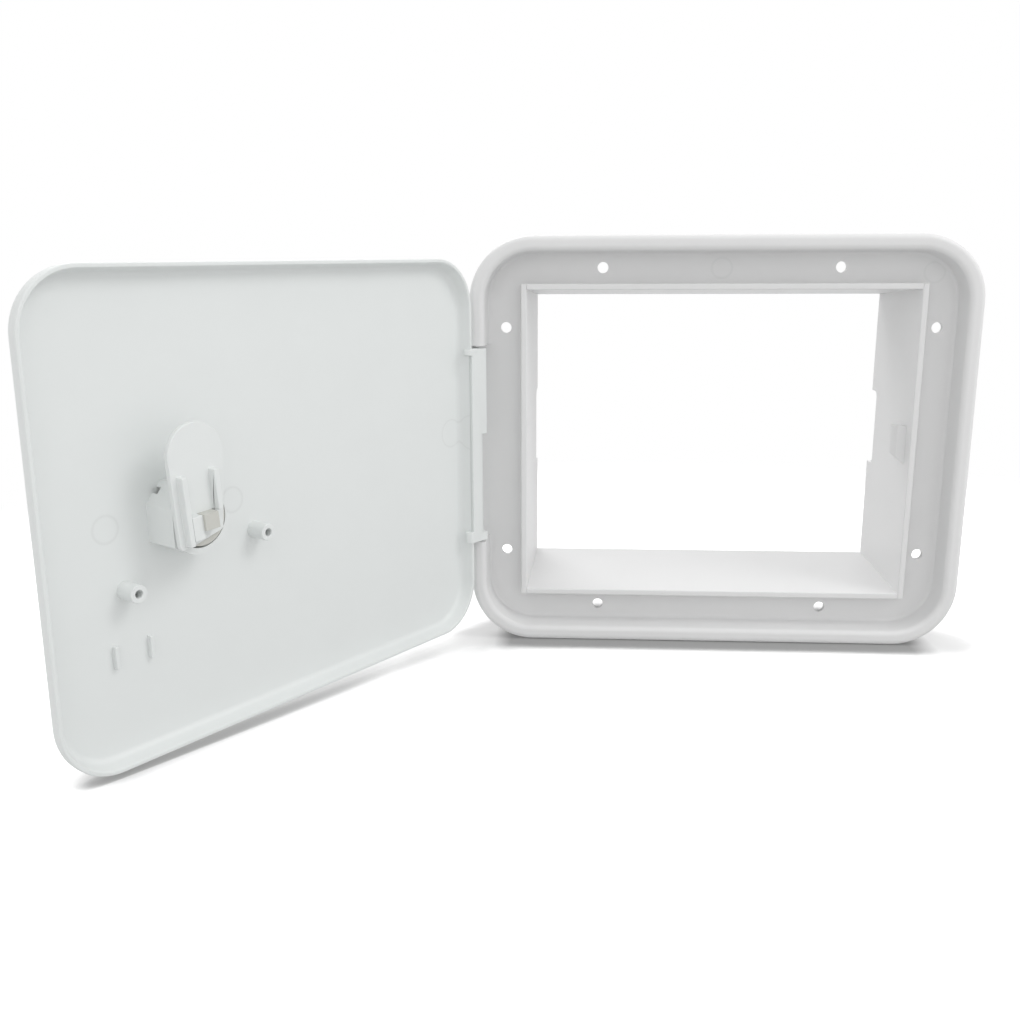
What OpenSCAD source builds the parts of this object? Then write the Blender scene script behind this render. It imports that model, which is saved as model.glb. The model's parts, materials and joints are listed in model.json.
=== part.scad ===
/* [Frame] */
// Width of the frame across the outside of its rim
frame_w = 220; // [205:1:260]
// Height of the frame across the outside of its rim
frame_h = 183; // [165:1:220]
// Outer corner radius of the frame
frame_r = 28; // [24:1:40]
// Width of the rim seen from the front
rim_w = 6.6; // [5.4:0.2:8]
// How far the rim stands in front of the wall
rim_d = 15.6; // [14:0.2:20]
// Wall thickness of the hollow rim
rim_t = 2.2; // [1.6:0.1:2.4]
// Rounding of the two front edges of the rim
rim_edge = 2.4; // [1:0.1:2.6]
// Thickness of the screw flange
flange_t = 2.5; // [1.8:0.1:3]
// Diameter of the screw holes
screw_d = 4.8; // [3.5:0.1:5.5]
// Distance between the two screw columns in the top and bottom flange
screw_pitch_x = 103.4; // [80:0.2:120]
// Distance between the screw rows in the left and right flange
screw_pitch_z = 103.2; // [80:0.2:110]

/* [Collar] */
// Flat band between the rim and the collar at the two sides
band_x = 15.2; // [13:0.1:24]
// Flat band between the rim and the collar at the top and bottom
band_z = 13.3; // [12.4:0.1:22]
// How far the collar reaches into the wall
collar_d = 46.7; // [20:0.1:80]
// How far the lip of the collar stands in front of the wall
lip_d = 10.25; // [6:0.05:10.4]
// Wall thickness of the collar
collar_t = 2.6; // [1.8:0.1:3.2]
// Draft of each side wall from front to back
draft_x = 2.9; // [0:0.1:4]
// Draft of the top and bottom wall from front to back
draft_z = 4; // [0:0.1:5]
// Height of the notch in the back edge of the side walls
notch_h = 35; // [15:1:60]
// Depth of the notch in the back edge of the side walls
notch_d = 7; // [3:0.5:14]

/* [Door] */
// Gap between the door and the rim at the two sides
gap_x = 1.1; // [0.6:0.1:2]
// Gap between the door and the rim at the top and bottom
gap_z = 3; // [0.8:0.1:4]
// Corner radius of the door
door_r = 21; // [16:1:30]
// Thickness of the door skin
skin_t = 2.5; // [1.8:0.1:3]
// Depth of the tray behind the skin
tray_d = 5.75; // [4:0.05:8]
// Thickness of the tray wall at its crest
tray_t = 1.5; // [1:0.1:2.4]
// Rounding of the front edge of the door
door_edge = 6; // [2:0.5:6.5]
// Gap between the floor of the closed door and the lip
lip_gap = 0.3; // [0.1:0.05:1]
// Angle by which the door stands open at rest
door_open = 123.7; // [0:0.1:170]

/* [Hinge] */
// Diameter of the hinge pin
pin_d = 3.4; // [2.4:0.1:3.6]
// Radial clearance round the hinge pin
pin_gap = 0.05; // [0.03:0.01:0.1]
// Wall of the hinge eyes round the pin
eye_t = 1.6; // [1.2:0.1:1.8]
// Distance of the hinge axis from the closed door
hinge_x = 7.05; // [6.6:0.05:8]
// Depth of the hinge axis behind the front of the rim
hinge_y = 4.9; // [4:0.1:6]
// Height of the upper end of the hinge block above the middle
hinge_top = 43.4; // [30:0.2:52]
// Depth of the lower end of the hinge block below the middle
hinge_low = 43.6; // [30:0.2:52]
// Gap between each end of the hinge block and the rim
hinge_gap = 1; // [0.5:0.1:1.6]
// Height above the middle at which the relief of the block ends
relief_top = 5.6; // [-10:0.2:20]
// Distance of the relief from the hinge axis
relief_x = 4.5; // [3.9:0.05:5]
// Height of the lower knuckle
knuckle_t = 3.9; // [3:0.1:6]
// Thickness of the upper hinge arm
arm_t = 2.5; // [2:0.1:4]
// Thickness of the lower hinge arm
low_arm_t = 5.2; // [3:0.1:7]
// How far a hinge arm reaches into the tray
arm_in = 4.1; // [3.4:0.1:5]
// How far the hinge block stands above the crest of the door
block_up = 1.3; // [0.4:0.1:1.4]

/* [Latch] */
// Distance of the latch axis from the free edge of the door
latch_x = 51.8; // [45:0.1:70]
// Height of the latch axis
latch_z = -0.5; // [-20:0.1:20]
// Width of the latch tongue
tongue_w = 21.8; // [19:0.2:26]
// Reach of the latch tongue from its axis
tongue_l = 32.6; // [28:0.2:33]
// Length of the tongue behind its axis
tongue_tail = 8.4; // [7.6:0.1:10]
// Taper of the tongue's hinge side towards its tail
tongue_nip = 4.2; // [2:0.2:4.6]
// Thickness of the tongue plate
tongue_t = 2; // [1.4:0.1:3]
// Lean of the tongue at rest
tongue_lean = 4.5; // [0:0.5:20]
// Distance between the two ribs of the tongue
rib_pitch = 12.6; // [12:0.2:14]
// Width of a tongue rib
rib_w = 2; // [1.4:0.1:2.6]
// Height of a tongue rib
rib_h = 2.8; // [2:0.2:5]
// Reach of the ribs from the latch axis
rib_l = 16.3; // [12:0.1:20]
// Side of the square spindle
spindle_w = 5.6; // [5:0.2:6]
// Offset of the rib channel from the latch axis
rib_off = 1.4; // [1:0.1:1.8]
// Width of the latch housing
house_w = 21.4; // [20:0.2:26]
// Height of the latch housing
house_h = 23.8; // [22:0.2:30]
// Depth of the housing behind the door floor
house_d = 14; // [10:0.5:15]
// Wall thickness of the housing
house_t = 2; // [1.4:0.1:3]
// Diameter of the turn knob
knob_d = 20; // [18:0.5:24]
// Height of the turn knob in front of the door
knob_h = 3.4; // [2:0.2:6]
// Radial gap between the knob and its bezel
knob_gap = 0.3; // [0.2:0.1:0.8]

/* [Small parts] */
// Outer diameter of a screw boss
boss_d = 6.1; // [5:0.1:8]
// Bore of a screw boss
boss_bore = 2.8; // [2:0.1:3.5]
// Height of a screw boss above the door floor
boss_h = 8; // [5:0.5:9]
// Length of a locating rib
loc_l = 7.7; // [5:0.1:12]
// Thickness of a locating rib
loc_t = 1.3; // [0.8:0.1:2]
// Height of a locating rib
loc_h = 2; // [1:0.1:4]
// Length of the keeper along the side wall
keeper_l = 17; // [12:0.5:24]
// How far the keeper stands out of the side wall
keeper_w = 4.8; // [3:0.1:6]

/* [Hidden] */
$fn = 64;
white = [0.93, 0.93, 0.92];
cream = [0.86, 0.85, 0.8];
// rim and flange
base_in = 0.6;
flange_w = frame_w - 2 * (rim_w + base_in);
flange_h = frame_h - 2 * (rim_w + base_in);
flange_r = frame_r - rim_w - base_in;
foot_r = 1.6;
screw_row_z = flange_h / 2 - 6.6;
screw_col_x = flange_w / 2 - 8.2;
// collar
half_x = flange_w / 2 - band_x - collar_t;
half_z = flange_h / 2 - band_z - collar_t;
collar_len = lip_d + collar_d;
// door in its closed place
door_w = frame_w - 2 * rim_w - 2 * gap_x;
door_h = frame_h - 2 * rim_w - 2 * gap_z;
floor_y = -lip_d - lip_gap;
crest_y = floor_y + tray_d;
face_y = floor_y - skin_t;
frame_band = 9;
crest_r = 0.5;
// hinge
axis_x = -door_w / 2 - hinge_x;
axis_y = -rim_d + hinge_y;
eye_r = pin_d / 2 + pin_gap + eye_t;
hinge_left = -frame_w / 2;
hinge_right = hinge_left + rim_w;
web_y = face_y + door_edge;
block_back = -flange_t - 0.4;
block_crest = min(crest_y + block_up, block_back - 0.2);
knuckle_top = -hinge_low + knuckle_t;
relief_turn = 123.7;
lug_l = 5;
lug_top = hinge_top + hinge_gap;
lug_low = -hinge_low - hinge_gap;
// latch
pivot_x = door_w / 2 - latch_x;
house_top = floor_y + house_d;
tongue_y = house_top + 0.5;
hub_r = house_w / 2 - 1.4;
hub_gap = 0.7;
shaft_r = house_w / 2 - house_t - 0.7;
cut_up = [6.1, 7.1];
cut_down = [7.4, 4];
hole_w = 2.6;
knob_back = floor_y - 1.3;
bezel_t = 2.6;
bezel_d = knob_d + 2 * knob_gap + 2 * bezel_t;
// keeper sits just in front of the turned tongue
keeper_y1 = tongue_y - 0.8;
keeper_y0 = keeper_y1 - 7;

// points of an arc from angle a0 to a1 in n steps
function turned(a0, a1, i, n) = a0 + (a1 - a0) * i / n;
function arc(cx, cy, r, a0, a1, n) = [
    for (i = [0 : n]) [cx + r * cos(turned(a0, a1, i, n)), cy + r * sin(turned(a0, a1, i, n))]
];

// one section carried round a rounded rectangle: x is measured from its outer edge
module carry(w, h, r) {
    for (k = [0 : 3]) {
        a = k % 2 == 0 ? w : h;
        b = k % 2 == 0 ? h : w;
        rotate([0, -90 * k, 0]) {
            linear_extrude(height = b - 2 * r, center = true) translate([a / 2, 0]) children();
            translate([a / 2 - r, 0, b / 2 - r])
                rotate([-90, 0, 0])
                rotate([0, 0, -90])
                rotate_extrude(angle = 90) translate([r, 0]) children();
        }
    }
}

// flat rounded rectangle in the XZ plane from y0 to y1
module slab(w, h, r, y0, y1) {
    translate([0, y1, 0]) rotate([90, 0, 0]) linear_extrude(height = y1 - y0) {
        union() {
            square([w - 2 * r, h], center = true);
            square([w, h - 2 * r], center = true);
            for (x = [-1, 1], z = [-1, 1]) translate([x * (w / 2 - r), z * (h / 2 - r)]) circle(r);
        }
    }
}

// a straight bore or pin along Y
module along_y(d, y0, y1) {
    translate([0, y1, 0]) rotate([90, 0, 0]) cylinder(d = d, h = y1 - y0);
}

module box(x0, x1, y0, y1, z0, z1) {
    translate([x0, y0, z0]) cube([x1 - x0, y1 - y0, z1 - z0]);
}

// outline of the rim's section, from its outer edge inwards
module rim_outline() {
    c = rim_edge;
    polygon(concat(
        [[0, 0]],
        arc(-c, -rim_d + c, c, 0, -90, 6),
        arc(-rim_w + c, -rim_d + c, c, -90, -180, 6),
        arc(-rim_w - base_in - foot_r, -flange_t - foot_r, foot_r, 0, 90, 5),
        [[-rim_w - base_in, -flange_t], [-rim_w - base_in, 0]]
    ));
}

// hollow section of the rim, open towards the wall
module rim_section() {
    difference() {
        rim_outline();
        polygon([
            [-rim_t, 1],
            [-rim_t, -rim_d + rim_t + 0.8],
            [-rim_t - 0.8, -rim_d + rim_t],
            [-rim_w + rim_t + 0.8, -rim_d + rim_t],
            [-rim_w + rim_t, -rim_d + rim_t + 0.8],
            [-rim_w + rim_t, 1]
        ]);
    }
}

module rim() color(white) {
    difference() {
        carry(frame_w, frame_h, frame_r) rim_section();
        box(-frame_w, hinge_right + base_in + foot_r + 1, -rim_d - 1, 1, lug_low - lug_l, lug_top + lug_l);
    }
}

module screw_places() {
    for (x = [-1, 1], z = [-1, 1]) {
        translate([x * screw_pitch_x / 2, 0, z * screw_row_z]) children();
        translate([x * screw_col_x, 0, z * screw_pitch_z / 2]) children();
    }
}

module flange() color(white) {
    difference() {
        slab(flange_w, flange_h, flange_r, -flange_t, 0);
        collar_outer();
        screw_places() along_y(screw_d, -flange_t - 1, 1);
    }
}

// side view of the tapered collar: half width at the front lip and at the back
module taper(f, b, y0, y1) {
    polygon([[-f, y0], [f, y0], [b, y1], [-b, y1]]);
}

module taper_x(grow) {
    linear_extrude(height = 2 * frame_h, center = true)
        taper(half_x + grow, half_x + grow - draft_x, -lip_d, collar_d);
}

module taper_z(grow) {
    rotate([0, -90, 0])
        linear_extrude(height = 2 * frame_w, center = true)
        taper(half_z + grow, half_z + grow - draft_z, -lip_d, collar_d);
}

// inner face of a collar wall with the given draft, carried past both of its ends
module inner_face(half, draft) {
    step = draft / collar_len;
    polygon([
        [-1, -lip_d - 1],
        [half + step, -lip_d - 1],
        [half - draft - step, collar_d + 1],
        [-1, collar_d + 1]
    ]);
}

module collar_outer() {
    intersection() {
        taper_x(collar_t);
        taper_z(collar_t);
    }
}

module side_wall() {
    difference() {
        intersection() {
            collar_outer();
            box(0, frame_w, -rim_d, collar_d + 1, -frame_h, frame_h);
        }
        linear_extrude(height = 2 * frame_h, center = true) inner_face(half_x, draft_x);
        back_notch();
    }
}

// rounded notch in the back edge of a side wall
module back_notch() {
    r = 3;
    translate([0, 0, 0.6]) rotate([0, 90, 0]) linear_extrude(height = frame_w) {
        translate([-notch_h / 2, collar_d - notch_d + r]) square([notch_h, notch_d + 1]);
        translate([-notch_h / 2 + r, collar_d - notch_d]) square([notch_h - 2 * r, notch_d]);
        for (s = [-1, 1]) translate([s * (notch_h / 2 - r), collar_d - notch_d + r]) circle(r);
    }
}

module level_wall() {
    difference() {
        intersection() {
            taper_x(0);
            taper_z(collar_t);
            box(-frame_w, frame_w, -rim_d, collar_d + 1, 0, frame_h);
        }
        rotate([0, -90, 0])
            linear_extrude(height = 2 * frame_w, center = true)
            inner_face(half_z, draft_z);
    }
}

module collar_right() color(white) side_wall();

module collar_left() color(white) mirror([1, 0, 0]) side_wall();

module collar_top() color(white) level_wall();

module collar_bottom() color(white) mirror([0, 0, 1]) level_wall();

// catch on the side wall, behind which the tongue turns
module keeper() color(white) {
    wall_0 = half_x - draft_x * (keeper_y0 + lip_d) / collar_len;
    wall_1 = half_x - draft_x * (keeper_y1 + lip_d) / collar_len;
    in_x = wall_1 - keeper_w;
    difference() {
        translate([0, 0, -keeper_l / 2 - 0.5]) linear_extrude(height = keeper_l) polygon([
            [wall_0, keeper_y0],
            [in_x + 1.6, keeper_y0 + 1],
            [in_x, keeper_y0 + 3.4],
            [in_x, keeper_y1],
            [wall_1, keeper_y1]
        ]);
        translate([in_x - 0.01, keeper_y0 - 1, -keeper_l / 2 - 0.5])
            rotate([-90, 0, 0]) linear_extrude(height = 9)
            polygon([[-1, 1], [keeper_w + 1.5, 1], [-1, -5.2]]);
    }
}

// strip of the frame that stays behind the hinge block
module hinge_seat() color(white) {
    box(hinge_left, hinge_right + base_in, -flange_t, 0, lug_low - lug_l, lug_top + lug_l);
}

// the pin reaches 3.5 mm into each lug
module pin_shape() {
    translate([axis_x, axis_y, lug_low - 3.5]) cylinder(d = pin_d, h = lug_top - lug_low + 7);
}

// solid end of the rim that holds one end of the pin
module hinge_lug(z0, z1) {
    difference() {
        translate([0, 0, z0]) linear_extrude(height = z1 - z0) difference() {
            union() {
                translate([hinge_left, 0]) mirror([1, 0]) rim_outline();
                translate([axis_x, axis_y]) circle(eye_r);
            }
            translate([hinge_left - 1, -flange_t]) square([rim_w + base_in + 1, flange_t + 1]);
        }
        pin_shape();
    }
}

module hinge_lug_upper() color(white) hinge_lug(lug_top, lug_top + lug_l);

module hinge_lug_lower() color(white) hinge_lug(lug_low - lug_l, lug_low);

module hinge_pin() color(white) pin_shape();

// carries a piece drawn in its closed place to where the open door holds it
module on_door() {
    translate([axis_x, axis_y, 0]) rotate([0, 0, -door_open]) translate([-axis_x, -axis_y, 0]) children();
}

// section of the door's edge: rounded front corner, tray wall and inner fillet
module door_edge_section() {
    c = door_edge;
    f = 2.4;
    polygon(concat(
        [[-frame_band, floor_y], [-frame_band, face_y]],
        arc(-c, face_y + c, c, -90, 0, 8),
        arc(-crest_r, crest_y - crest_r, crest_r, 0, 90, 3),
        arc(-tray_t - 0.1 + crest_r, crest_y - crest_r, crest_r, 90, 180, 3),
        arc(-tray_t - 0.9 - f, floor_y + f, f, 0, -90, 5)
    ));
}

module door_rim() color(white) on_door() {
    difference() {
        carry(door_w, door_h, door_r) door_edge_section();
        hinge_arm(hinge_top - arm_t, arm_t);
        hinge_arm(-hinge_low, low_arm_t);
        translate([0, 0, -hinge_low]) linear_extrude(height = hinge_top + hinge_low) crest_seat();
    }
}

module door_panel() color(white) on_door() {
    difference() {
        slab(door_w - 2 * frame_band, door_h - 2 * frame_band, door_r - frame_band, face_y, floor_y);
        translate([pivot_x, 0, latch_z]) along_y(bezel_d - 2, face_y - 1, floor_y + 1);
    }
}

// where the hinge block joins the crest of the door
module crest_seat() {
    translate([-door_w / 2 - 1, crest_y - crest_r]) square([1.1 + tray_t, 1]);
}

// section of the hinge block, drawn with the door closed
module block_section() {
    c = rim_edge;
    wall_in = -door_w / 2 + tray_t + 0.1;
    difference() {
        union() {
            polygon(concat(
                arc(hinge_left + c, -rim_d + c, c, 180, 270, 6),
                arc(hinge_right - c, -rim_d + c, c, 270, 360, 6),
                [[hinge_right, web_y], [-door_w / 2, web_y], [-door_w / 2, crest_y - crest_r]],
                [[wall_in, crest_y - crest_r], [wall_in, block_crest], [hinge_right - 0.3, block_crest]],
                arc(hinge_left + 0.6, block_back - 0.6, 0.6, 75, 180, 3)
            ));
            translate([axis_x, axis_y]) circle(eye_r);
        }
        translate([axis_x, axis_y]) circle(d = pin_d + 2 * pin_gap);
    }
}

// moving block of the hinge: one with the door, it turns round the pin
module hinge_block() color(white) on_door() {
    difference() {
        translate([0, 0, -hinge_low]) linear_extrude(height = hinge_top + hinge_low) block_section();
        translate([axis_x, axis_y, knuckle_top])
            rotate([0, 0, relief_turn])
            translate([relief_x, -20, 0])
            cube([20, 40, relief_top - knuckle_top]);
        hinge_arm(hinge_top - arm_t, arm_t);
        hinge_arm(-hinge_low, low_arm_t);
    }
}

// arm that grips the crest of the door, from the block into the tray
module hinge_arm(z, t) {
    wall_x = -door_w / 2;
    translate([0, 0, z]) linear_extrude(height = t) polygon([
        [hinge_right, web_y],
        [wall_x, web_y],
        [wall_x + 2.1, crest_y - 3.2],
        [wall_x + arm_in, crest_y - 1.6],
        [wall_x + arm_in, crest_y - 0.3],
        [wall_x + arm_in - 1, block_crest],
        [hinge_right, block_crest]
    ]);
}

module hinge_arm_upper() color(white) on_door() hinge_arm(hinge_top - arm_t, arm_t);

module hinge_arm_lower() color(white) on_door() hinge_arm(-hinge_low, low_arm_t);

module boss(x, z) {
    translate([x, 0, z]) difference() {
        along_y(boss_d, floor_y, floor_y + boss_h);
        along_y(boss_bore, floor_y + 1, floor_y + boss_h + 1);
    }
}

module boss_inner() color(white) on_door() boss(pivot_x - 33, latch_z - 12.8);

module boss_outer() color(white) on_door() boss(pivot_x + 21.2, latch_z - 22);

module locating_rib(x) {
    box(x - loc_t / 2, x + loc_t / 2, floor_y, floor_y + loc_h, latch_z - 39.7 - loc_l, latch_z - 39.7);
}

module locating_rib_a() color(white) on_door() locating_rib(pivot_x + 13.9);

module locating_rib_b() color(white) on_door() locating_rib(pivot_x + 27.1);

// pieces of the latch are drawn round its axis with z up
module on_latch() {
    on_door() translate([pivot_x, 0, latch_z]) children();
}

// how much of a cut corner is left on the inner side of the wall
function inner_cut(a, b, t) = a - t + t * (norm([a, b]) - a) / b;

// housing outline with its four corners cut, t further in
module housing_outline(t) {
    w = house_w / 2 - t;
    h = house_h / 2 - t;
    a = inner_cut(cut_up[0], cut_up[1], t);
    b = inner_cut(cut_up[1], cut_up[0], t);
    c = inner_cut(cut_down[0], cut_down[1], t);
    d = inner_cut(cut_down[1], cut_down[0], t);
    polygon([
        [w - a, h], [w, h - b], [w, -h + d], [w - c, -h],
        [-w + c, -h], [-w, -h + d], [-w, h - b], [-w + a, h]
    ]);
}

module latch_housing() color(white) on_latch() {
    difference() {
        translate([0, house_top, 0])
            rotate([90, 0, 0]) linear_extrude(height = house_d) housing_outline(0);
        translate([0, house_top - house_t, 0])
            rotate([90, 0, 0]) linear_extrude(height = house_d) housing_outline(house_t);
        along_y(2 * hub_r + 2 * hub_gap, house_top - house_t - 1, house_top + 1);
        translate([house_w / 2 - cut_up[0] * 0.6, floor_y, house_h / 2 - cut_up[1] * 0.4])
            rotate([0, -atan2(cut_up[0], cut_up[1]), 0])
            box(-3, 3, -1, hole_w, -hole_w / 2, hole_w / 2);
    }
}

module latch_bezel() color(white) on_latch() {
    difference() {
        union() {
            along_y(bezel_d, face_y - 1.2, face_y);
            along_y(bezel_d - 2, face_y, floor_y);
        }
        along_y(knob_d + 2 * knob_gap, face_y - 2, floor_y - 1);
        along_y(2 * shaft_r + 2 * hub_gap, face_y - 2, floor_y + 1);
    }
}

// the latch is drawn upright and then leant over
module on_turn() {
    on_latch() rotate([0, tongue_lean, 0]) children();
}

// flat outline of the tongue: round tip, one straight side, one side drawn in towards the tail
module tongue_outline() {
    r = tongue_w / 2;
    low = -tongue_tail;
    translate([0, tongue_l - r]) circle(r);
    polygon([
        [-r, tongue_l - r],
        [-r + tongue_nip - 0.2, low + 4],
        [-r + tongue_nip + 0.6, low + 3.2],
        [r - 2.4, low],
        [r - 0.6, low + 0.4],
        [r, low + 1.8],
        [r, tongue_l - r]
    ]);
}

module latch_tongue() color(white) on_turn() {
    rib_y = tongue_y + tongue_t;
    half = spindle_w / 2;
    long_x = rib_off + rib_pitch / 2;
    short_x = rib_off - rib_pitch / 2;
    difference() {
        union() {
            translate([0, rib_y, 0]) rotate([90, 0, 0]) linear_extrude(height = tongue_t) tongue_outline();
            box(long_x - rib_w / 2, long_x + rib_w / 2, rib_y, rib_y + rib_h, 1.4 - tongue_tail, rib_l);
            box(short_x - rib_w / 2, short_x + rib_w / 2, rib_y, rib_y + rib_h, half - 0.3, rib_l);
        }
        box(short_x + rib_w / 2, half, tongue_y - 1, rib_y + 1, -half, half);
    }
}

module latch_spindle() color(cream) on_turn() {
    side = spindle_w / 2 - 0.02;
    along_y(2 * shaft_r, knob_back, house_top - house_t - 0.4);
    along_y(2 * hub_r, house_top - house_t - 0.4, tongue_y);
    box(-side, side, tongue_y, tongue_y + tongue_t + rib_h + 1, -side, side);
}

module latch_clip() color(white) on_turn() {
    top = tongue_y + tongue_t;
    half = spindle_w / 2;
    box(half, rib_off + rib_pitch / 2 - rib_w / 2, top, top + rib_h, 2.8 - tongue_tail, half - 0.2);
}

module turn_knob() color(white) on_turn() {
    difference() {
        along_y(knob_d, face_y - knob_h, knob_back);
        box(2.6, knob_d, face_y - knob_h - 1, face_y - 0.4, -knob_d, knob_d);
        box(-knob_d, -2.6, face_y - knob_h - 1, face_y - 0.4, -knob_d, knob_d);
    }
}

rim();
flange();
collar_top();
collar_bottom();
collar_left();
collar_right();
keeper();
hinge_seat();
hinge_lug_upper();
hinge_lug_lower();
hinge_pin();
door_panel();
door_rim();
hinge_block();
hinge_arm_upper();
hinge_arm_lower();
boss_inner();
boss_outer();
locating_rib_a();
locating_rib_b();
latch_housing();
latch_bezel();
latch_tongue();
latch_spindle();
latch_clip();
turn_knob();
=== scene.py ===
import json
import math

import bpy
from mathutils import Matrix, Vector
from mathutils.bvhtree import BVHTree


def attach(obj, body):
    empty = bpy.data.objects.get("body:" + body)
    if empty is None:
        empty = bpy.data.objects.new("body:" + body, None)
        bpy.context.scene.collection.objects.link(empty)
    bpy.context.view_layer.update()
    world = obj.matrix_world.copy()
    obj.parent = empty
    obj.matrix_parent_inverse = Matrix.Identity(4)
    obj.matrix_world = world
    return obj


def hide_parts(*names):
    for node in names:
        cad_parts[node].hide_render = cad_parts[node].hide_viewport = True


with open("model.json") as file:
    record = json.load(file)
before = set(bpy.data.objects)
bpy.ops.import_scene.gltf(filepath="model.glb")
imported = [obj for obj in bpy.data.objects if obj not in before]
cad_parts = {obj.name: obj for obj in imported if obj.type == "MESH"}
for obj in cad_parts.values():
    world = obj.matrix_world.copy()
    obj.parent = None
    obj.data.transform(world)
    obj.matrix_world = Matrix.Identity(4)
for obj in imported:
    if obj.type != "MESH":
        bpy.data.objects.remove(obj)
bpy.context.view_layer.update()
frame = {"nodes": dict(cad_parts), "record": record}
nodes = frame["nodes"]

MM = 0.001

# where the photograph was taken from, in the hatch's own frame
CAMERA_PLACE = (-0.06340, -0.48592, 0.08425)
CAMERA_RIGHT = (0.99815, 0.06063, -0.00369)
CAMERA_AHEAD = (-0.05981, 0.97025, -0.23460)
CAMERA_UP = (-0.01064, 0.23439, 0.97209)
SENSOR_MM = 36.0
FOCAL_SHARE = 1066.24 / 1020

# the hatch leans a little: it stands on its rim and on the free corner of the door
FRAME_FOOT_Y = -0.0135
FRAME_FOOT_Z = -0.0917
LEAN = 0.0512
FLOOR_REACH = 3.0

# how strong the white tent is all round, and how much it gains or loses straight towards each side
TENT_EVEN, TENT_FRONT, TENT_BACK = 0.845, 0.28, -0.35

# the paper: what it throws back as light, the lift that keeps it white for the eye, and the contact shadow painted
# into its colour near the hatch, by the share of open sky over it; each pair is a level at the left and at the right
# end of a stretch in x
PAPER_BOUNCE, PAPER_LIFT = 0.62, 0.44
PAPER_NEAR, PAPER_FAR = 0.35, 0.6
CONTACT_MM = 30.0
DOOR_STRETCH, DOOR_PAINTED_SHADE = (-0.155, -0.12), (0.34, 0.54)
FRAME_STRETCH, FRAME_PAINTED_SHADE = (-0.112, -0.092), (1.0, 0.26)
CORNER_STRETCH, CORNER_PAINTED_SHADE = (0.082, 0.102), (0.0, 0.62)
HINGE_STRETCH, SKY_WHERE_PAINTED_SHADE, SKY_WHERE_WHITE = (-0.14, -0.104), (0.50, 0.84), (0.86, 1.0)

# how far the edges of each moulding are rounded, in millimetres; the rim is round enough as it is
EDGE_MM = {"hinge_lug_upper": 0.3, "hinge_lug_lower": 0.3,
           "collar_top": 0.45, "collar_bottom": 0.45, "collar_left": 0.45, "collar_right": 0.45, "keeper": 0.5,
           "door_rim": 0.3, "hinge_block": 0.4, "hinge_arm_upper": 0.35, "hinge_arm_lower": 0.35,
           "boss_inner": 0.25, "boss_outer": 0.25, "locating_rib_a": 0.3, "locating_rib_b": 0.3,
           "latch_housing": 0.35, "latch_bezel": 0.35, "latch_tongue": 0.35, "latch_spindle": 0.35,
           "latch_clip": 0.35, "turn_knob": 0.4}
SAME_POINT_MM = 0.002
FLAT_WITHIN = math.radians(0.4)
EDGE_FROM = math.radians(40)
SMOOTH_WITHIN = math.radians(38)
TOUCHING_MM = 0.03

# the ejector pins' marks: radius, width of the ring, and how far in front of the face the middle is given
MARK_RADIUS_MM, MARK_WIDTH_MM, MARK_STAND_MM = 4.4, 0.9, 10.0
FLOW_MM = 24.0


def srgb(code):
    """One sRGB hex colour as the linear numbers that a shader takes."""
    values = [int(code[i:i + 2], 16) / 255 for i in (0, 2, 4)]
    return [v / 12.92 if v <= 0.04045 else ((v + 0.055) / 1.055) ** 2.4 for v in values] + [1.0]


def add(tree, kind, settings=None, links=None):
    """One shader node: settings name its fields and sockets, links give what runs into a socket."""
    node = tree.nodes.new(kind)
    for name, value in (settings or {}).items():
        if isinstance(name, int) or name in node.inputs:
            node.inputs[name].default_value = value
        else:
            setattr(node, name, value)
    for name, source in (links or {}).items():
        tree.links.new(source, node.inputs[name])
    return node


def worked(tree, operation, first, second):
    """The output of one Math node; each operand is a number or another node's output."""
    operands = {0: first, 1: second}
    numbers = {i: v for i, v in operands.items() if isinstance(v, (int, float))}
    node = add(tree, "ShaderNodeMath", {"operation": operation, **numbers},
               {i: v for i, v in operands.items() if i not in numbers})
    return node.outputs["Value"]


def ramp(tree, value, stretch, levels, kind="LINEAR"):
    """A value mapped from one stretch to two levels; levels and ends may be outputs of other nodes."""
    ends = {"From Min": stretch[0], "From Max": stretch[1], "To Min": levels[0], "To Max": levels[1]}
    numbers = {name: v for name, v in ends.items() if isinstance(v, (int, float))}
    links = {name: v for name, v in ends.items() if name not in numbers}
    node = add(tree, "ShaderNodeMapRange", {"interpolation_type": kind, **numbers}, {"Value": value, **links})
    return node.outputs["Result"]


def pin_marks(tree, place, spots):
    """Faint rings where the mould's ejector pins pushed the part out: 1 on a ring, 0 elsewhere.
    Each spot lies some way in front of the face, so that the ball round it meets that face only and not its back."""
    ball_mm = math.hypot(MARK_STAND_MM, MARK_RADIUS_MM)
    width_mm = MARK_WIDTH_MM * MARK_RADIUS_MM / ball_mm
    rings = None
    for spot in spots:
        away = add(tree, "ShaderNodeVectorMath", {"operation": "DISTANCE", 1: [v * MM for v in spot]}, {0: place})
        off = worked(tree, "SUBTRACT", away.outputs["Value"], ball_mm * MM)
        size = worked(tree, "ABSOLUTE", off, 0.5)
        ring = ramp(tree, size, (0.0, width_mm * MM), (1.0, 0.0), "SMOOTHSTEP")
        rings = worked(tree, "MAXIMUM", rings, ring) if rings else ring
    return rings


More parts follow.
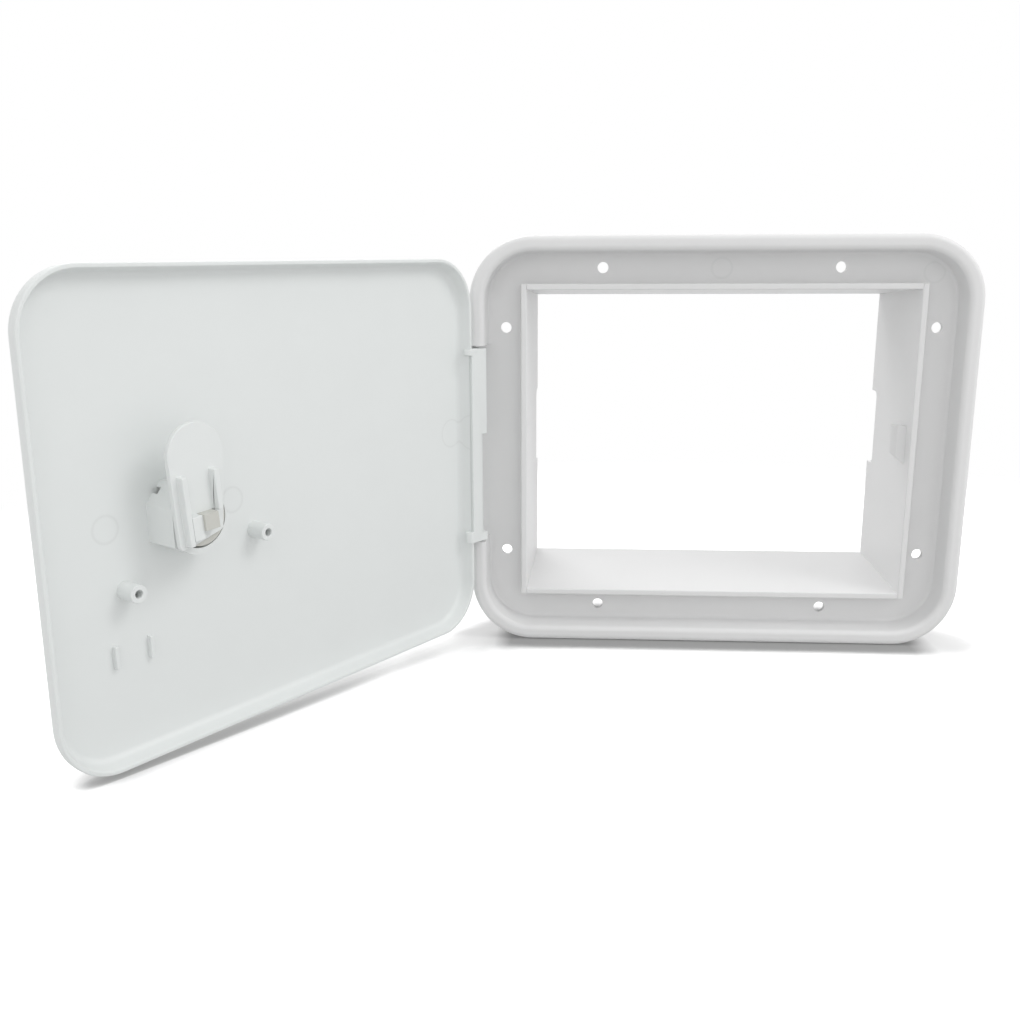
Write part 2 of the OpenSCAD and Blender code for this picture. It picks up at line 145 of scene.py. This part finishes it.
def moulded_plastic(name, colour, shade, rough, grain_mm, grain_depth, marks=()):
    """Injection-moulded plastic: a fine spark-eroded grain, soft waves of flow and shrinkage, and pin marks."""
    material = bpy.data.materials.new(name)
    material.use_nodes = True
    tree = material.node_tree
    tree.nodes.clear()
    place = add(tree, "ShaderNodeTexCoord").outputs["Object"]
    flow = add(tree, "ShaderNodeTexNoise", {"Scale": 1 / (FLOW_MM * MM), "Detail": 2.0, "Roughness": 0.45},
               {"Vector": place}).outputs["Fac"]
    grain = add(tree, "ShaderNodeTexNoise", {"Scale": 1 / (grain_mm * MM), "Detail": 3.0, "Roughness": 0.6},
                {"Vector": place}).outputs["Fac"]
    tint = add(tree, "ShaderNodeMix", {"data_type": "RGBA", "A": srgb(colour), "B": srgb(shade)},
               {"Factor": flow}).outputs["Result"]
    gloss = ramp(tree, grain, (0.3, 0.7), (rough - 0.04, rough + 0.05))
    waves = add(tree, "ShaderNodeBump", {"Strength": 0.12, "Distance": 0.12 * MM}, {"Height": flow})
    skin = add(tree, "ShaderNodeBump", {"Strength": 0.3, "Distance": grain_depth * MM},
               {"Height": grain, "Normal": waves.outputs["Normal"]}).outputs["Normal"]
    if marks:
        rings = pin_marks(tree, place, marks)
        tint = add(tree, "ShaderNodeMix", {"data_type": "RGBA", "B": srgb("D2D4D3")},
                   {"Factor": worked(tree, "MULTIPLY", rings, 0.28), "A": tint}).outputs["Result"]
        skin = add(tree, "ShaderNodeBump", {"Strength": 0.5, "Distance": 0.05 * MM, "invert": True},
                   {"Height": rings, "Normal": skin}).outputs["Normal"]
    shader = add(tree, "ShaderNodeBsdfPrincipled", {"IOR": 1.53},
                 {"Base Color": tint, "Roughness": gloss, "Normal": skin})
    add(tree, "ShaderNodeOutputMaterial", None, {"Surface": shader.outputs["BSDF"]})
    return material


# white ABS, moulded in a lightly grained tool: the eye gets a white satin that softens every reflection
white_abs = moulded_plastic("white_moulded_abs", "E6E6E6", "E3E3E3", 0.42, 0.9, 0.012)
# the same on the flange, where two ejector pins left faint rings near its upper edge
flange_abs = moulded_plastic("white_moulded_abs_pin_marks", "E6E6E6", "E3E3E3", 0.42, 0.9, 0.012,
                             ((0.2, -12.5, 77.4), (91.6, -12.5, 75.4)))
# the door and the latch: the frame's white plastic, painted lighter to stand in for the stronger light they take;
# the eye gets a trace of blue-green in the white
white_abs_painted_lighter = moulded_plastic("white_moulded_abs_painted_lighter", "E8EBEA", "E5E8E7", 0.42, 0.9, 0.012)
# the same lighter-painted white on the door's tray, with three faint rings of the ejector pins on the inner side
tray_abs = moulded_plastic("white_moulded_abs_painted_lighter_pin_marks", "E8EBEA", "E5E8E7", 0.42, 0.9, 0.012,
                           ((-204.2, -171.1, -1.2), (-176.3, -129.3, -0.7), (-110.2, -28.7, 7.0)))
# natural acetal, the plastic that turning parts are made of: the eye gets a warm grey, duller than the shell
cream_acetal = moulded_plastic("cream_turned_acetal", "CFCFC9", "CACAC3", 0.5, 0.7, 0.01)

# the door and the latch take the white that is painted lighter, standing in for the light they take
BODY_MATERIAL = {"frame": white_abs, "door": white_abs_painted_lighter, "latch": white_abs_painted_lighter}
NODE_MATERIAL = {"latch_spindle": cream_acetal, "flange": flange_abs, "door_panel": tray_abs, "door_rim": tray_abs}


def surface_tree(names):
    """The surfaces of some CAD nodes in one search tree."""
    corners, faces = [], []
    for name in names:
        mesh = nodes[name].data
        start = len(corners)
        corners.extend(vertex.co.copy() for vertex in mesh.vertices)
        faces.extend([start + i for i in face.vertices] for face in mesh.polygons)
    return BVHTree.FromPolygons(corners, faces)


def softened(name, body):
    """A copy of a CAD node with its free edges rounded as a mould leaves them; it stands for the node.
    Edges at which the node meets another one of the same body stay sharp."""
    cad = nodes[name]
    piece = cad.copy()
    piece.data = cad.data.copy()
    piece.name = name + "_moulded"
    bpy.context.scene.collection.objects.link(piece)
    bpy.ops.object.select_all(action="DESELECT")
    piece.select_set(True)
    bpy.context.view_layer.objects.active = piece
    bpy.ops.object.mode_set(mode="EDIT")
    bpy.ops.mesh.select_all(action="SELECT")
    bpy.ops.mesh.remove_doubles(threshold=SAME_POINT_MM * MM)
    bpy.ops.mesh.dissolve_limited(angle_limit=FLAT_WITHIN)
    bpy.ops.mesh.select_all(action="DESELECT")
    bpy.ops.mesh.select_mode(type="EDGE")
    bpy.ops.object.mode_set(mode="OBJECT")
    mates = [other for other in frame["record"]["behaviour"]["bodies"][body] if other != name]
    joined = surface_tree(mates) if mates else None
    mesh = piece.data
    sides = {}
    for face in mesh.polygons:
        for key in face.edge_keys:
            sides.setdefault(key, []).append(face.normal)
    for edge in mesh.edges:
        pair = sides.get(edge.key, [])
        if len(pair) != 2 or pair[0].angle(pair[1], 0.0) < EDGE_FROM:
            continue
        ends = [mesh.vertices[i].co for i in edge.vertices]
        middle = (ends[0] + ends[1]) / 2
        if joined and joined.find_nearest(middle)[3] < TOUCHING_MM * MM:
            continue
        edge.select = True
    if any(edge.select for edge in mesh.edges):
        bpy.ops.object.mode_set(mode="EDIT")
        bpy.ops.mesh.bevel(offset=EDGE_MM[name] * MM, segments=2, affect="EDGES", clamp_overlap=True)
        bpy.ops.object.mode_set(mode="OBJECT")
    bpy.ops.object.shade_smooth_by_angle(angle=SMOOTH_WITHIN)
    weigh = piece.modifiers.new("weigh", "WEIGHTED_NORMAL")
    weigh.keep_sharp = True
    bpy.ops.object.modifier_apply(modifier=weigh.name)
    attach(piece, body)
    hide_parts(name)


for body, members in frame["record"]["behaviour"]["bodies"].items():
    for name in members:
        nodes[name].data.materials.clear()
        nodes[name].data.materials.append(NODE_MATERIAL.get(name, BODY_MATERIAL[body]))
        if name in EDGE_MM:
            softened(name, body)


# the studio
def white_paper():
    """Matt white paper: it keeps the lamps' shadow, has a contact shadow painted into its colour close to the hatch,
    and is plain white further out.
    """
    paper = bpy.data.materials.new("matt_white_paper_painted_shadow")
    paper.use_nodes = True
    tree = paper.node_tree
    tree.nodes.clear()
    path = add(tree, "ShaderNodeLightPath")
    seen = worked(tree, "MAXIMUM", path.outputs["Is Camera Ray"], path.outputs["Is Glossy Ray"])
    place = add(tree, "ShaderNodeTexCoord").outputs["Object"]
    across = add(tree, "ShaderNodeSeparateXYZ", None, {"Vector": place}).outputs["X"]
    # the painted contact shadow: a dark band painted into the paper's colour where the frame stands on it; under the
    # door's raised edge it is painted paler and narrower, and palest beside the hinge and under the frame's round
    # corners
    painted_shade = worked(tree, "MINIMUM", ramp(tree, across, DOOR_STRETCH, DOOR_PAINTED_SHADE),
                  ramp(tree, across, FRAME_STRETCH, FRAME_PAINTED_SHADE))
    painted_shade = worked(tree, "MAXIMUM", painted_shade, ramp(tree, across, CORNER_STRETCH, CORNER_PAINTED_SHADE))
    start, end = (ramp(tree, across, HINGE_STRETCH, sky) for sky in (SKY_WHERE_PAINTED_SHADE, SKY_WHERE_WHITE))
    # the share of open sky within CONTACT_MM darkens the paper's colour here: this is the painted contact shadow
    sky = add(tree, "ShaderNodeAmbientOcclusion", {"Distance": CONTACT_MM * MM, "samples": 24}).outputs["AO"]
    depth = ramp(tree, sky, (start, end), (painted_shade, 1.0), "SMOOTHSTEP")
    share = add(tree, "ShaderNodeMix", {"data_type": "FLOAT", "A": PAPER_BOUNCE},
                {"Factor": path.outputs["Is Camera Ray"], "B": depth}).outputs["Result"]
    tone = add(tree, "ShaderNodeCombineColor", None, {"Red": share, "Green": share, "Blue": share})
    sheet = add(tree, "ShaderNodeBsdfDiffuse", None, {"Color": tone.outputs["Color"]})
    lift = worked(tree, "MULTIPLY", worked(tree, "MULTIPLY", seen, PAPER_LIFT), share)
    glow = add(tree, "ShaderNodeEmission", None, {"Strength": lift})
    near = add(tree, "ShaderNodeAddShader", None, {0: sheet.outputs["BSDF"], 1: glow.outputs["Emission"]})
    far = add(tree, "ShaderNodeEmission", {"Strength": 1.0})
    reach = add(tree, "ShaderNodeVectorMath", {"operation": "LENGTH"}, {0: place}).outputs["Value"]
    blend = worked(tree, "MULTIPLY", ramp(tree, reach, (PAPER_NEAR, PAPER_FAR), (0.0, 1.0), "SMOOTHSTEP"), seen)
    both = add(tree, "ShaderNodeMixShader", None,
               {0: blend, 1: near.outputs["Shader"], 2: far.outputs["Emission"]})
    add(tree, "ShaderNodeOutputMaterial", None, {"Surface": both.outputs["Shader"]})
    return paper


def plain_floor():
    """A pale sheet that the hatch stands on, tipped as the hatch leans."""
    bpy.ops.object.select_all(action="DESELECT")
    bpy.ops.mesh.primitive_plane_add(size=1, location=(0, 0, 0))
    floor = bpy.context.object
    floor.name = "studio_floor"
    for vertex in floor.data.vertices:
        x, y = vertex.co.x * 2 * FLOOR_REACH, vertex.co.y * 2 * FLOOR_REACH
        vertex.co = Vector((x, y + FRAME_FOOT_Y, FRAME_FOOT_Z - LEAN * y))
    floor.data.materials.append(white_paper())


def soft_lamp(name, place, side, watts):
    """One square softbox, turned to face the hatch."""
    light = bpy.data.lights.new(name, "AREA")
    light.shape = "RECTANGLE"
    light.size = light.size_y = side
    light.energy = watts
    lamp = bpy.data.objects.new(name, light)
    bpy.context.scene.collection.objects.link(lamp)
    lamp.location = place
    lamp.rotation_euler = (-Vector(place)).to_track_quat("-Z", "Y").to_euler()


def studio_world():
    """White surroundings for the eye, and a white tent for the light, lit a little differently from each side."""
    world = bpy.data.worlds.new("white_studio")
    bpy.context.scene.world = world
    world.use_nodes = True
    tree = world.node_tree
    tree.nodes.clear()
    way = add(tree, "ShaderNodeTexCoord").outputs["Generated"]
    tent = TENT_EVEN
    for toward, gain in ((1.0, TENT_BACK), (-1.0, TENT_FRONT)):
        facing = add(tree, "ShaderNodeVectorMath", {"operation": "MULTIPLY", 1: (toward, toward, toward)}, {0: way})
        ahead = add(tree, "ShaderNodeVectorMath", {"operation": "MAXIMUM", 1: (0.0, 0.0, 0.0)},
                    {0: facing.outputs["Vector"]}).outputs["Vector"]
        lobe = add(tree, "ShaderNodeVectorMath", {"operation": "MULTIPLY"}, {0: ahead, 1: ahead})
        share = add(tree, "ShaderNodeVectorMath", {"operation": "DOT_PRODUCT", 1: (0.0, gain, 0.0)},
                    {0: lobe.outputs["Vector"]})
        tent = worked(tree, "ADD", share.outputs["Value"], tent)
    light = add(tree, "ShaderNodeBackground", {"Color": (1.0, 1.0, 1.0, 1.0)}, {"Strength": tent})
    plain = add(tree, "ShaderNodeBackground", {"Color": (1.0, 1.0, 1.0, 1.0), "Strength": 1.0})
    path = add(tree, "ShaderNodeLightPath").outputs
    seen = worked(tree, "MAXIMUM", path["Is Camera Ray"], path["Is Transmission Ray"])
    seen = worked(tree, "MAXIMUM", seen, path["Is Glossy Ray"])
    mix = add(tree, "ShaderNodeMixShader", None,
              {0: seen, 1: light.outputs["Background"], 2: plain.outputs["Background"]})
    add(tree, "ShaderNodeOutputWorld", None, {"Surface": mix.outputs["Shader"]})


plain_floor()
studio_world()
soft_lamp("key_softbox", (0.95, -0.35, 1.05), 0.6, 5.0)
soft_lamp("back_softbox", (-0.45, 0.80, 1.00), 0.6, 5.0)

camera_data = bpy.data.cameras.new("photo_camera")
camera_data.sensor_width = SENSOR_MM
camera_data.lens = SENSOR_MM * FOCAL_SHARE
camera = bpy.data.objects.new("photo_camera", camera_data)
bpy.context.scene.collection.objects.link(camera)
turn = Matrix((CAMERA_RIGHT, CAMERA_UP, [-v for v in CAMERA_AHEAD])).transposed().to_4x4()
camera.matrix_world = Matrix.Translation(CAMERA_PLACE) @ turn
bpy.context.scene.camera = camera
bpy.context.scene.view_settings.view_transform = "Standard"
